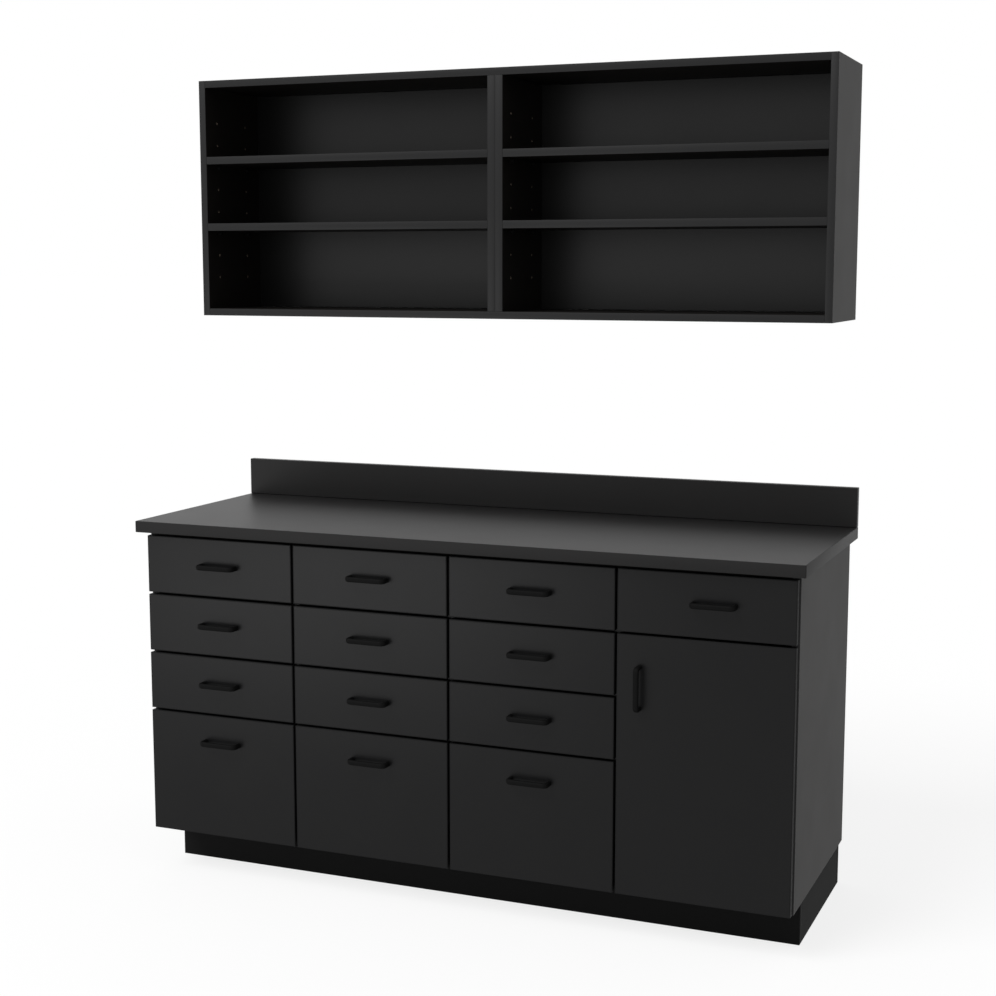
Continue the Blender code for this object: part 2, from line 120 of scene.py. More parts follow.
def linear(colour: str) -> tuple[float, float, float, float]:
    """Turn an sRGB hex value into a linear colour.

    Args:
        colour: Six hex digits, such as 1c1c1d.

    Returns:
        Linear red, green and blue, with an alpha of 1.
    """
    shares = [int(colour[start : start + 2], 16) / 255 for start in (0, 2, 4)]
    red, green, blue = (
        s / SRGB_SLOPE if s <= SRGB_FOOT else ((s + SRGB_OFFSET) / (1 + SRGB_OFFSET)) ** SRGB_POWER
        for s in shares
    )
    return red, green, blue, 1.0


def per_metre(millimetres: float) -> float:
    """Give a pattern's scale, in repeats to the metre, from its real size."""
    return MM_PER_METRE / millimetres


def extent(edge: Edge, axis: Axis) -> float:
    """Give how far an edge reaches along an axis."""
    return abs(edge.verts[0].co[axis.value] - edge.verts[1].co[axis.value])


def add_node(
    tree: Tree, kind: str, settings: dict | None = None, links: dict | None = None
) -> bpy.types.Node:
    """Add a node to a tree, with its settings and links.

    Args:
        tree: The node tree.
        kind: Blender's name for the kind of node.
        settings: Values by the name of a property, or by the name or number of an input.
        links: Output sockets by the name or number of the input that they feed.

    Returns:
        The new node.
    """
    node = tree.nodes.new(kind)
    for key, value in (settings or {}).items():
        if isinstance(key, int) or key in node.inputs:
            node.inputs[key].default_value = value
        else:
            setattr(node, key, value)
    for key, socket in (links or {}).items():
        tree.links.new(socket, node.inputs[key])
    return node


@dataclass(frozen=True)
class Finish:
    """A real material and how its surface was made. Each kind lays its own patterns."""

    name: str
    dark: str
    light: str
    roughness: tuple[float, float]
    shine: float = 0.5
    metallic: float = 0.0
    relief_mm: float = 0.012

    def material(self) -> bpy.types.Material:
        """Give the finish's material, which is made the first time that it is asked for.

        Returns:
            The material.
        """
        made = bpy.data.materials.get(self.name)
        if made is None:
            made = bpy.data.materials.new(self.name)
            made.use_nodes = True
            self.lay(made.node_tree)
        return made

    def lay(self, tree: Tree) -> None:
        """Mix the colours and the roughness by one pattern, and raise the other off the surface.

        Args:
            tree: The material's node tree.
        """
        place = add_node(tree, "ShaderNodeTexCoord").outputs["Object"]
        shades, relief = self.patterns(tree, place)
        settings = {"data_type": "RGBA", MIX_A: linear(self.dark), MIX_B: linear(self.light)}
        colour = add_node(tree, "ShaderNodeMix", settings, {MIX_SHARE: shades})
        settings = {"To Min": self.roughness[0], "To Max": self.roughness[1]}
        sheen = add_node(tree, "ShaderNodeMapRange", settings, {"Value": shades})
        settings = {"Distance": self.relief_mm / MM_PER_METRE}
        bump = add_node(tree, "ShaderNodeBump", settings, {"Height": relief})
        shader = tree.nodes["Principled BSDF"]
        shader.inputs["Specular IOR Level"].default_value = self.shine
        shader.inputs["Metallic"].default_value = self.metallic
        tree.links.new(colour.outputs[MIX_RESULT], shader.inputs["Base Color"])
        tree.links.new(sheen.outputs["Result"], shader.inputs["Roughness"])
        tree.links.new(bump.outputs["Normal"], shader.inputs["Normal"])

    def patterns(self, tree: Tree, place: Socket) -> Patterns:
        """Lay the finish's patterns, which each kind does in its own way."""
        raise NotImplementedError


@dataclass(frozen=True)
class PebbledSheet(Finish):
    """Laminate, foil or lacquer on a board, pressed or rolled to a fine pebble.

    The eye sees one deep, even colour under a soft sheen, which hand marks and cleaning make a little duller
    in clouds. The real pebble is about 0.3 mm, too fine to show, so it is drawn coarser.
    """

    cloud_mm: float = 130.0
    pebble_mm: float = 1.6

    def patterns(self, tree: Tree, place: Socket) -> Patterns:
        """Lay the clouds and the pebbles.

        Args:
            tree: The material's node tree.
            place: The place on the piece.

        Returns:
            The clouds for the shades, and the pebbles for the relief.
        """
        settings = {"Scale": per_metre(self.cloud_mm), "Detail": 4.0}
        clouds = add_node(tree, "ShaderNodeTexNoise", settings, {"Vector": place})
        settings = {"Scale": per_metre(self.pebble_mm), "Detail": 1.0}
        pebbles = add_node(tree, "ShaderNodeTexNoise", settings, {"Vector": place})
        return clouds.outputs["Fac"], pebbles.outputs["Fac"]


@dataclass(frozen=True)
class MouldedPlastic(Finish):
    """Plastic shaped in a spark-eroded or drawn die.

    The eye sees a flat, even black whose fine grain spreads every highlight. The real grain is about 0.2 mm,
    so it is drawn coarser to show at all.
    """

    relief_mm: float = 0.02
    grain_mm: float = 0.7

    def patterns(self, tree: Tree, place: Socket) -> Patterns:
        """Lay the grain.

        Args:
            tree: The material's node tree.
            place: The place on the piece.

        Returns:
            The grain, for both.
        """
        settings = {"Scale": per_metre(self.grain_mm), "Detail": 2.0}
        grain = add_node(tree, "ShaderNodeTexNoise", settings, {"Vector": place}).outputs["Fac"]
        return grain, grain


@dataclass(frozen=True)
class PlatedSteel(Finish):
    """Sheet steel that was rolled or pressed, then plated in a bath.

    The eye sees a pale metal whose rolling marks run along Y, front to back, and break its highlights into
    short streaks. The real marks are under 0.1 mm wide, so they are drawn coarser.
    """

    metallic: float = 1.0
    relief_mm: float = 0.004
    streak_mm: float = 0.8
    streak_length_mm: float = 40.0

    def patterns(self, tree: Tree, place: Socket) -> Patterns:
        """Lay the rolling marks.

        Args:
            tree: The material's node tree.
            place: The place on the piece.

        Returns:
            The marks, for both.
        """
        across = per_metre(self.streak_mm)
        settings = {"Scale": (across, per_metre(self.streak_length_mm), across)}
        along = add_node(tree, "ShaderNodeMapping", settings, {"Vector": place}).outputs["Vector"]
        settings = {"Scale": 1.0, "Detail": 3.0}
        marks = add_node(tree, "ShaderNodeTexNoise", settings, {"Vector": along}).outputs["Fac"]
        return marks, marks


@dataclass(frozen=True)
class ChipCore(Finish):
    """Particle board where a drill has bared it.

    The eye sees pale wood chips in a darker glue, each turned its own way.
    """

    relief_mm: float = 0.2
    chip_mm: float = 1.5

    def patterns(self, tree: Tree, place: Socket) -> Patterns:
        """Lay the chips.

        Args:
            tree: The material's node tree.
            place: The place on the piece.

        Returns:
            Each chip's own shade, and the way out from its middle.
        """
        settings = {"Scale": per_metre(self.chip_mm)}
        chips = add_node(tree, "ShaderNodeTexVoronoi", settings, {"Vector": place}).outputs
        shade = add_node(tree, "ShaderNodeRGBToBW", {}, {"Color": chips["Color"]})
        return shade.outputs["Val"], chips["Distance"]


# A near-black sheet whose clear sheen mirrors the pulls in front of it as dark smudges
BLACK_FRONT = PebbledSheet("black_laminate_pressed_satin", "070708", "0a0a0a", (0.32, 0.37), shine=0.17)
# A duller black that turns warm grey only where it is seen at a slant
BLACK_BOARD = PebbledSheet("black_melamine_pressed_matt", "0f0d0c", "13110f", (0.50, 0.56), shine=0.115)
# A thin board with more gloss than the rest, so that light pools in the middle of each bay
BLACK_BACK = PebbledSheet("black_hardboard_lacquered", "060606", "090909", (0.33, 0.38), shine=0.33)
# The flattest black, partly a matt foil's own colour and partly painted shade: darker and duller than the
# boards, so that the plinth looks as if it sits in the shade under the carcass
PLINTH_FOIL_PAINTED_SHADE = PebbledSheet("black_foil_wrapped_matt", "0c0c0c", "0f0f0f", (0.72, 0.78), shine=0.075)
# A shade lighter than the faces, so that a board's rim reads as a strip of its own
BLACK_EDGE = MouldedPlastic(
    "black_abs_edge_band_extruded", "101011", "141414", (0.40, 0.48), shine=0.24, grain_mm=1.2
)
# A duller band for the fronts, so that their ends stay darker than the cabinet's side behind them
FRONT_EDGE = MouldedPlastic(
    "black_pvc_edge_tape_calendered", "0c0c0d", "101010", (0.57, 0.63), shine=0.13, grain_mm=1.2
)
# A charcoal a little lighter than the fronts, dull from above and pale along the slant
WORKTOP_SHEET = PebbledSheet("charcoal_laminate_pressed_suede", "151515", "191818", (0.41, 0.45), shine=0.20)
# The same sheet bent over the rim and rubbed dull, so that the worktop's ends stay as dark as the sides
WORKTOP_RIM = PebbledSheet("charcoal_laminate_postformed_matt", "151515", "191818", (0.54, 0.60), shine=0.17)
# The blackest thing on the fronts, with hardly a highlight
BLACK_NYLON = MouldedPlastic("black_nylon_moulded", "090909", "0c0c0c", (0.62, 0.70), shine=0.055)
# A cool grey metal with long streaks
ZINC = PlatedSteel("zinc_plated_steel_rolled", "a3a6a8", "b9bcbe", (0.28, 0.42))
# A warmer, brighter metal with short streaks
NICKEL = PlatedSteel("nickel_plated_steel_pressed", "b8b3a8", "cac6bd", (0.18, 0.28), streak_length_mm=6.0)
# Raw wood, greyed by handling, that shows only inside a drilled hole
BOARD_CORE = ChipCore("particle_board_drilled", "554d44", "7d7264", (0.7, 0.9))


class Workpiece:
    """A mesh on the bench, shaped with Blender's modelling operators and then handed to a body."""

    def __init__(self, item: bpy.types.Object) -> None:
        """Take an object onto the bench."""
        self.item = item

    @classmethod
    def started(cls, name: str, scale: Vector) -> "Workpiece":
        """Take the primitive that was just added, and set its place and size into its mesh.

        Args:
            name: The piece's name.
            scale: How far to stretch the primitive along X, Y and Z.

        Returns:
            The new workpiece.
        """
        work = cls(bpy.context.object)
        work.rename(name)
        work.item.scale = scale
        bpy.ops.object.transform_apply(location=True, rotation=True, scale=True)
        return work

    @classmethod
    def block(cls, name: str, low: Vector, high: Vector) -> "Workpiece":
        """Start from a cube that fills the space between two corners.

        Args:
            name: The piece's name.
            low: The lowest corner.
            high: The highest corner.

        Returns:
            The new workpiece.
        """
        bpy.ops.object.select_all(action="DESELECT")
        bpy.ops.mesh.primitive_cube_add(size=1.0, location=(low + high) / 2)
        return cls.started(name, high - low)

    @classmethod
    def rod(cls, name: str, start: Vector, end: Vector, radius: float, sides: int) -> "Workpiece":
        """Start from a cylinder between two points.

        Args:
            name: The piece's name.
            start: The middle of one end.
            end: The middle of the other end.
            radius: The cylinder's radius.
            sides: How many sides it has.

        Returns:
            The new workpiece.
        """
        along = end - start
        bpy.ops.object.select_all(action="DESELECT")
        bpy.ops.mesh.primitive_cylinder_add(
            vertices=sides,
            radius=radius,
            depth=along.length,
            location=(start + end) / 2,
            rotation=along.to_track_quat("Z", "Y").to_euler(),
        )
        return cls.started(name, Vector((1, 1, 1)))

    @classmethod
    def joined(cls, name: str, works: Sequence["Workpiece"]) -> "Workpiece":
        """Join several shapes into one piece, each still closed by itself.

        Args:
            name: The piece's name.
            works: The shapes, of which the first takes in the others.

        Returns:
            The joined workpiece.
        """
        works[0].activate()
        for work in works[1:]:
            work.item.select_set(True)
        if len(works) > 1:
            bpy.ops.object.join()
        works[0].rename(name)
        return works[0]

    def rename(self, name: str) -> None:
        """Give the object and its mesh a name."""
        self.item.name = self.item.data.name = name

    def activate(self) -> None:
        """Make this the one selected object."""
        bpy.ops.object.select_all(action="DESELECT")
        self.item.select_set(True)
        bpy.context.view_layer.objects.active = self.item

    def copy(self, name: str, place: Matrix) -> "Workpiece":
        """Make a moved copy with a mesh of its own.

        Args:
            name: The copy's name.
            place: The move from this piece to the copy.

        Returns:
            The copy.
        """
        twin = Workpiece(self.item.copy())
        twin.item.data = self.item.data.copy()
        twin.rename(name)
        twin.item.data.transform(place)
        bpy.context.scene.collection.objects.link(twin.item)
        return twin

    def discard(self) -> None:
        """Take the object out of the scene."""
        bpy.data.objects.remove(self.item, do_unlink=True)

    @contextmanager
    def edit(self) -> Iterator[None]:
        """Open the mesh in edit mode, and close it again."""
        self.activate()
        bpy.ops.object.mode_set(mode="EDIT")
        yield
        bpy.ops.object.mode_set(mode="OBJECT")

    def pick(self, kind: Element, test: Callable[[Edge | Face], bool]) -> None:
        """Select the edges or the faces that pass a test, in edit mode.

        Args:
            kind: Which of the two are picked.
            test: Says whether one of them is selected.
        """
        bpy.ops.mesh.select_mode(type=kind.name)
        bpy.ops.mesh.select_all(action="DESELECT")
        for element in getattr(bmesh.from_edit_mesh(self.item.data), kind.value):
            if test(element):
                element.select_set(True)
        bmesh.update_edit_mesh(self.item.data)

    def pick_sharp(self) -> None:
        """Select the sharp edges, in edit mode."""
        self.pick(Element.EDGE, lambda edge: edge.calc_face_angle(0.0) > SHARP_ANGLE)

    def round(self, width: float, steps: int = 2) -> None:
        """Round the selected edges."""
        bpy.ops.mesh.bevel(offset=width, segments=steps, affect="EDGES")

    def inset(self, width: float, rise: float = 0.0) -> None:
        """Draw in the rim of the selected faces, and raise or sink what is inside it."""
        bpy.ops.mesh.inset(thickness=width, depth=rise)

    def pull_out(self, move: Vector) -> None:
        """Extrude the selected faces."""
        bpy.ops.mesh.extrude_region_move(TRANSFORM_OT_translate={"value": move})

    def paint(self) -> None:
        """Give the selected faces the last of the piece's finishes."""
        self.item.active_material_index = len(self.item.data.materials) - 1
        bpy.ops.object.material_slot_assign()

    def coat(self, *finishes: Finish) -> "Workpiece":
        """Give the piece its finishes, of which the first is on all of it.

        Args:
            finishes: The finishes, in the order of their numbers.

        Returns:
            This workpiece.
        """
        self.item.data.materials.clear()
        for finish in finishes:
            self.item.data.materials.append(finish.material())
        return self

    def modify(self, kind: str, **settings: object) -> None:
        """Apply a modifier.

        Args:
            kind: Blender's name for the kind of modifier.
            settings: Its settings by name.
        """
        self.activate()
        modifier = self.item.modifiers.new(kind, kind)
        for key, value in settings.items():
            setattr(modifier, key, value)
        bpy.ops.object.modifier_apply(modifier=modifier.name)

    def cut(self, cutter: "Workpiece") -> None:
        """Use a shape up to cut it out of the piece, with the shape's own finish in the hollow."""
        self.modify("BOOLEAN", object=cutter.item, material_mode="TRANSFER")
        cutter.discard()

    def thicken(self, sheet: float) -> None:
        """Turn an open surface into a sheet that is this thick, inwards."""
        self.modify("SOLIDIFY", thickness=sheet, offset=-1.0)

    def hand_over(self, body: str, slot: Slot, *nodes: str) -> None:
        """Shade the finished piece and let it ride on a body of the part.

        Args:
            body: The body's name.
            slot: The record's material slot for the piece's finish; not used.
            nodes: The part's nodes that it stands for.
        """
        self.activate()
        bpy.ops.object.shade_smooth_by_angle(angle=SHARP_ANGLE)
        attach(self.item, body)
        if nodes:
            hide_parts(*nodes)
        LOG.info("%s: %d faces on %s", self.item.name, len(self.item.data.polygons), body)


@dataclass
class Board:
    """A laminated board with an edge band round its rim and a fine seam where the two meet."""

    name: str
    low: Vector
    high: Vector
    faces: Axis
    face_finish: Finish = BLACK_BOARD
    edge_finish: Finish = BLACK_EDGE
    eased: float = 0.0006
    band: float = 0.0010
    seam: float = 0.00015
    corner: float = 0.0
    corner_steps: int = 4

    @classmethod
    def fit(cls, node: str, faces: Axis, *finishes: Finish) -> None:
        """Make a board that fills a node of the cabinet, in the usual finishes or in others."""
        board = cls(f"{node}_board", *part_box(node), faces, *finishes)
        board.build().hand_over(CABINET, Slot.LAMINATE, node)

    def build(self) -> Workpiece:
        """Model the board.

        Returns:
            The board, with its faces and its rim in their finishes.
        """
        work = Workpiece.block(self.name, self.low, self.high).coat(self.edge_finish, self.face_finish)
        with work.edit():
            if self.corner:
                work.pick(Element.EDGE, self.is_front_corner)
                work.round(self.corner, self.corner_steps)
            work.pick_sharp()
            work.round(self.eased)
            work.pick(Element.FACE, lambda face: abs(face.normal[self.faces.value]) > FLAT)
            work.inset(self.band - self.eased)
            work.inset(self.seam, -self.seam)
            work.inset(self.seam, self.seam)
            work.paint()
        return work

    def is_front_corner(self, edge: Edge) -> bool:
        """Tell an upright edge at the front."""
        depth = max(vertex.co.y for vertex in edge.verts)
        return depth < self.low.y + self.eased and extent(edge, Axis.Z) > self.eased


@dataclass
class Front(Board):
    """An overlay front, with a rounder rim than a plain board."""

    faces: Axis = Axis.Y
    face_finish: Finish = BLACK_FRONT
    edge_finish: Finish = FRONT_EDGE
    eased: float = 0.0010
    band: float = 0.0020


@dataclass
class Channel:
    """A slide member: a rolled steel channel that runs front to back and opens to one side."""

    name: str
    low: Vector
    high: Vector
    opens: int
    lip: float = 0.0
    sheet: float = 0.0012
    roll: float = 0.0015
    roll_steps: int = 3

    def build(self) -> Workpiece:
        """Model the channel.

        Returns:
            The channel, in zinc-plated steel.
        """
        work = Workpiece.block(self.name, self.low, self.high).coat(ZINC)
        with work.edit():
            work.pick(Element.FACE, self.is_open)
            bpy.ops.mesh.delete(type="FACE")
            if self.lip:
                for height, way in ((self.high.z, -1), (self.low.z, 1)):
                    work.pick(Element.EDGE, lambda edge: self.is_mouth(edge, height))
                    move = Vector((0, 0, way * self.lip))
                    bpy.ops.mesh.extrude_edges_move(TRANSFORM_OT_translate={"value": move})
            work.pick_sharp()
            work.round(self.roll, self.roll_steps)
        work.thicken(self.sheet)
        return work

    def is_open(self, face: Face) -> bool:
        """Tell the side and the ends that the channel is open at."""
        return face.normal.x * self.opens > FLAT or abs(face.normal.y) > FLAT

    def is_mouth(self, edge: Edge, height: float) -> bool:
        """Tell the long open edge at a height."""
        level = abs(edge.verts[0].co.z - height) < self.sheet
        return edge.is_boundary and level and extent(edge, Axis.Y) > self.sheet


@dataclass
class Kit:
    """A fitting that is modelled once, as a pattern, and then copied."""

    pattern: Workpiece | None = field(default=None, init=False)

    def put_away(self) -> None:
        """Take the pattern out of the scene."""
        if self.pattern is not None:
            self.pattern.discard()
            self.pattern = None


@dataclass
class ScrewKit(Kit):
    """Pan-head screws with a cross recess."""

    radius: float = 0.0040
    height: float = 0.0024
    dome: float = 0.0011
    dome_steps: int = 3
    recess_length: float = 0.0042
    recess_width: float = 0.0009
    recess_depth: float = 0.0013
    sides: int = 20

    def model(self) -> Workpiece:
        """Give the pattern screw, whose head stands on the origin and looks along +Z.

        Returns:
            The pattern.
        """
        if self.pattern is None:
            foot, top = Vector(), Vector((0, 0, self.height))
            head = Workpiece.rod("screw_pattern", foot, top, self.radius, self.sides).coat(NICKEL)
            with head.edit():
                head.pick(Element.EDGE, lambda edge: min(v.co.z for v in edge.verts) > self.height / 2)
                head.round(self.dome, self.dome_steps)
            long, wide = self.recess_length / 2, self.recess_width / 2
            for x, y in ((long, wide), (wide, long)):
                low = Vector((-x, -y, self.height - self.recess_depth))
                high = Vector((x, y, self.height + self.recess_depth))
                head.cut(Workpiece.block("recess", low, high).coat(NICKEL))
            self.pattern = head
        return self.pattern

    def drive(self, name: str, places: Sequence[Vector], way: Vector) -> Workpiece:
        """Put screws at some places.

        Args:
            name: The name of the group of screws.
            places: The middle of each head, on the surface that it lies on.
            way: The way that the heads look.

        Returns:
            The screws as one piece.
        """
        turn = way.to_track_quat("Z", "Y").to_matrix().to_4x4()
        heads = [self.model().copy(name, Matrix.Translation(place) @ turn) for place in places]
        return Workpiece.joined(name, heads)


@dataclass
class PullKit(Kit):
    """Bow pulls, each with its two screws."""

    screws: ScrewKit
    thickness: float = 0.010
    bend: float = 0.014
    bend_steps: int = 10
    section_corner: float = 0.0046
    section_steps: int = 4
    weld: float = 0.00001

    def model(self, length: float, height: float, reach: float) -> Workpiece:
        """Give the pattern pull, whose feet stand on y = 0 with its bar along X at negative y.

        Args:
            length: The pull's length along the front.
            height: The height of its bar.
            reach: How far its bar stands off the front.

        Returns:
            The pattern.
        """
        if self.pattern is not None:
            return self.pattern
        half = length / 2
        leg = Vector((0, -(reach - self.bend), 0))
        bpy.ops.object.select_all(action="DESELECT")
        foot = Vector((self.thickness / 2 - half, 0, 0))
        bpy.ops.mesh.primitive_plane_add(size=1.0, location=foot, rotation=(math.pi / 2, 0, 0))
        work = Workpiece.started("pull_pattern", Vector((self.thickness, height, 1))).coat(BLACK_NYLON)
        with work.edit():
            bpy.ops.mesh.select_all(action="SELECT")
            bpy.ops.mesh.bevel(offset=self.section_corner, segments=self.section_steps, affect="VERTICES")
            work.pull_out(leg)
            for side in (-1, 1):
                centre = Vector((side * (half - self.bend), leg.y, 0))
                bpy.ops.mesh.spin(steps=self.bend_steps, angle=math.pi / 2, center=centre, axis=(0, 0, -1))
                if side < 0:
                    work.pull_out(Vector((2 * (half - self.bend), 0, 0)))
            work.pull_out(-leg)
            bpy.ops.mesh.select_all(action="SELECT")
            bpy.ops.mesh.remove_doubles(threshold=self.weld)
            bpy.ops.mesh.normals_make_consistent(inside=False)
        self.pattern = work
        return work

    def fit(self, node: str, body: str, back: float) -> None:
        """Put a pull where its node is, with its screws behind the board that it stands on.

        Args:
            node: The pull's node.
            body: The body that it rides on.
            back: The y of the surface that the screw heads lie on.
        """
        low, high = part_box(node)
        middle = (low + high) / 2
        wide, deep, tall = high - low
        upright = tall > wide
        length, height = max(wide, tall), min(wide, tall)
        along = Vector((0, 0, 1)) if upright else Vector((1, 0, 0))
        turn = Matrix.Rotation(-math.pi / 2 if upright else 0.0, 4, "Y")
        place = Matrix.Translation(Vector((middle.x, high.y, middle.z))) @ turn
        pull = self.model(length, height, deep).copy(node + "_bow", place)
        pull.hand_over(body, Slot.PLASTIC, node)
        step = along * (length - self.thickness) / 2
        seat = Vector((middle.x, back, middle.z))
        screws = self.screws.drive(node + "_screws", [seat - step, seat + step], BACKWARDS)
        screws.hand_over(body, Slot.STEEL)


@dataclass
class WorktopUnit:
    """The worktop and its upstand against the wall."""

    corner: float = 0.003
    eased: float = 0.0015
    band: float = 0.0025

    def build(self) -> None:
        """Make the worktop and the upstand."""
        for name, faces, rim, corner in (
            ("worktop", Axis.Z, WORKTOP_RIM, self.corner),
            ("backsplash", Axis.Y, WORKTOP_SHEET, 0.0),
        ):
            sizes = {"eased": self.eased, "band": self.band, "corner": corner}
            board = Board(f"{name}_slab", *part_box(name), faces, WORKTOP_SHEET, rim, **sizes)
            board.build().hand_over(CABINET, Slot.WORKTOP, name)


@dataclass
class ShelfPins:
    """Round shelf pins, moulded with a rounded end."""

    radius: float = 0.006
    length: float = 0.009
    nose: float = 0.0015
    nose_steps: int = 3
    sides: int = 24
    front_inset: float = 0.056
    back_inset: float = 0.080
    seat: float = 0.0003

    def rows(self, near: float, far: float) -> tuple[float, float]:
        """Give the y of the two rows of pins between the front and the back of what they stand in."""
        return near + self.front_inset, far - self.back_inset

    def build(
        self, name: str, panels: Sequence[tuple[float, int]], rows: Sequence[float], height: float
    ) -> None:
        """Make a group of pins at one height.

        Args:
            name: The group's name.
            panels: The x of each face that holds pins, and the way along X that they point.
            rows: The y of each row of pins.
            height: The height of their middles.
        """
        pins = []
        for x, way in panels:
            for y in rows:
                foot = Vector((x, y, height))
                tip = foot + Vector((way * self.length, 0, 0))
                pin = Workpiece.rod(name, foot, tip, self.radius, self.sides).coat(BLACK_NYLON)
                with pin.edit():
                    pin.pick(
                        Element.EDGE, lambda edge: all(abs(v.co.x - tip.x) < self.nose for v in edge.verts)
                    )
                    pin.round(self.nose, self.nose_steps)
                pins.append(pin)
        Workpiece.joined(name, pins).hand_over(CABINET, Slot.PLASTIC)


@dataclass
class Carcass:
    """The boards of the base, from the plinth up to the worktop, and the shelf behind the door."""

    panel: float = 0.019
    uprights: tuple[str, ...] = (
        "left_side_panel", "partition_1", "partition_2", "partition_3", "right_side_panel"
    )
    others: tuple[tuple[Axis, Finish, tuple[str, ...]], ...] = (
        (Axis.Z, BLACK_BOARD, ("bottom_panel", "top_front_rail", "top_back_rail", "cupboard_shelf")),
        (Axis.Y, BLACK_BACK, ("back_panel",)),
        # The plinth boards take the matt foil black, darkened as painted shade
        (Axis.Y, PLINTH_FOIL_PAINTED_SHADE, ("toe_kick", "plinth_back")),
        (Axis.X, PLINTH_FOIL_PAINTED_SHADE, ("plinth_left", "plinth_right")),
    )
    pins: ShelfPins = field(default_factory=ShelfPins)

    def upright_faces(self, index: int) -> tuple[float, float]:
        """Give the x of the two faces of an upright board, without the slides on it.

        Args:
            index: The board's number from the left.

        Returns:
            Its left and its right face.
        """
        low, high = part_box(self.uprights[index])
        if index == 0:
            return low.x, low.x + self.panel
        if index == len(self.uprights) - 1:
            return high.x - self.panel, high.x
        middle = (low.x + high.x) / 2
        return middle - self.panel / 2, middle + self.panel / 2

    def opening(self, column: int) -> tuple[float, float]:
        """Give the x of the two board faces at the sides of a column."""
        return self.upright_faces(column)[1], self.upright_faces(column + 1)[0]

    def build(self) -> None:
        """Make the boards of the base and of its plinth."""
        for index, name in enumerate(self.uprights):
            low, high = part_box(name)
            low.x, high.x = self.upright_faces(index)
            Board(f"{name}_board", low, high, Axis.X).build().hand_over(CABINET, Slot.LAMINATE, name)
        for faces, finish, names in self.others:
            for name in names:
                Board.fit(name, faces, finish, finish)
        self.shelf_pins()

    def shelf_pins(self) -> None:
        """Make the four pins under the cupboard shelf."""
        low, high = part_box("cupboard_shelf")
        left, right = self.opening(len(COLUMNS) - 1)
        height = low.z - self.pins.seat - self.pins.radius
        rows = self.pins.rows(low.y, high.y)
        self.pins.build("cupboard_shelf_pins", ((left, 1), (right, -1)), rows, height)


@dataclass
class Drawer:
    """One drawer: a laminate front on a box of boards that runs on a pair of steel slides."""

    name: str
    left: float
    right: float
    front: float = 0.019
    wall: float = 0.012
    bottom: float = 0.006
    bottom_inset: float = 0.010
    rise: float = 0.026
    drop: float = 0.023
    slide_space: float = 0.0127
    slide_height: float = 0.035
    slide_rise: float = 0.040
    slide_setback: float = 0.005
    slide_web: float = 0.003
    slide_lip: float = 0.003
    play: float = 0.0005
    seat: float = 0.0002
    low: Vector = field(init=False)
    high: Vector = field(init=False)

    def __post_init__(self) -> None:
        """Read the drawer's place from the frame."""
        self.low, self.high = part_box(self.name)

    @property
    def size(self) -> tuple[float, ...]:
        """Give the sizes that tell whether another drawer is the same."""
        sizes = (self.left - self.low.x, self.high.x - self.right, self.high.z - self.low.z)
        return tuple(round(value, SIZE_DIGITS) for value in sizes)

    @property
    def back_of_front(self) -> float:
        """Give the y of the front's inner face."""
        return self.low.y + self.front

    @property
    def inside_of_front(self) -> float:
        """Give the y of the box's inner face behind the front, where the pull's screws are."""
        return self.back_of_front + self.wall

    def pieces(self) -> dict[str, Workpiece]:
        """Model the drawer and the cabinet members of its slides.

        Returns:
            The pieces by the last word of their names.
        """
        corner = Vector((self.high.x, self.back_of_front, self.high.z))
        return {
            "front": Front(f"{self.name}_front", self.low, corner).build(),
            "box": self.box(),
            "bottom": self.floor(),
            "slides": self.slides(f"{self.name}_slides", True),
            "runners": self.slides(f"{self.name}_runners", False),
        }

    def box(self) -> Workpiece:
        """Model the four walls of the box.

        Returns:
            The walls as one piece.
        """
        left, right = self.left + self.slide_space, self.right - self.slide_space
        near, far = self.back_of_front + self.seat, self.high.y
        foot, top = self.low.z + self.rise, self.high.z - self.drop
        inner_left, inner_right = left + self.wall, right - self.wall
        start, end = inner_left + self.seat, inner_right - self.seat
        spans = (
            (Axis.X, (left, near), (inner_left, far)),
            (Axis.X, (inner_right, near), (right, far)),
            (Axis.Y, (start, near), (end, near + self.wall - self.seat)),
            (Axis.Y, (start, far - self.wall), (end, far)),
        )
        name = f"{self.name}_box"
        walls = [
            Board(name, Vector((*low, foot)), Vector((*high, top)), faces).build()
            for faces, low, high in spans
        ]
        return Workpiece.joined(name, walls)

    def floor(self) -> Workpiece:
        """Model the bottom, let in between the walls.

        Returns:
            The bottom.
        """
        foot = self.low.z + self.rise + self.bottom_inset
        inset = self.slide_space + self.wall
        low = Vector((self.left + inset, self.inside_of_front, foot))
        high = Vector((self.right - inset, self.high.y - self.wall, foot + self.bottom))
        return Board(f"{self.name}_bottom", low, high, Axis.Z).build()

    def slides(self, name: str, moving: bool) -> Workpiece:
        """Model a pair of slide members.

        Args:
            name: The pair's name.
            moving: Whether they are the members on the drawer, and not those on the cabinet.

        Returns:
            The pair as one piece.
        """
        middle = self.low.z + self.rise + self.slide_rise
        near, far = self.back_of_front + self.slide_setback, self.high.y
        reach = self.slide_space - self.play
        half = self.slide_height / 2
        lip = self.slide_lip
        if moving:
            reach -= self.slide_web
            half -= self.slide_lip + self.play
            lip = 0.0
        members = []
        for panel, way in ((self.left, 1), (self.right, -1)):
            root = panel + way * self.slide_space if moving else panel
            opens = -way if moving else way
            left, right = sorted((root, root + opens * reach))
            low, high = Vector((left, near, middle - half)), Vector((right, far, middle + half))
            members.append(Channel(name, low, high, opens, lip).build())
        return Workpiece.joined(name, members)


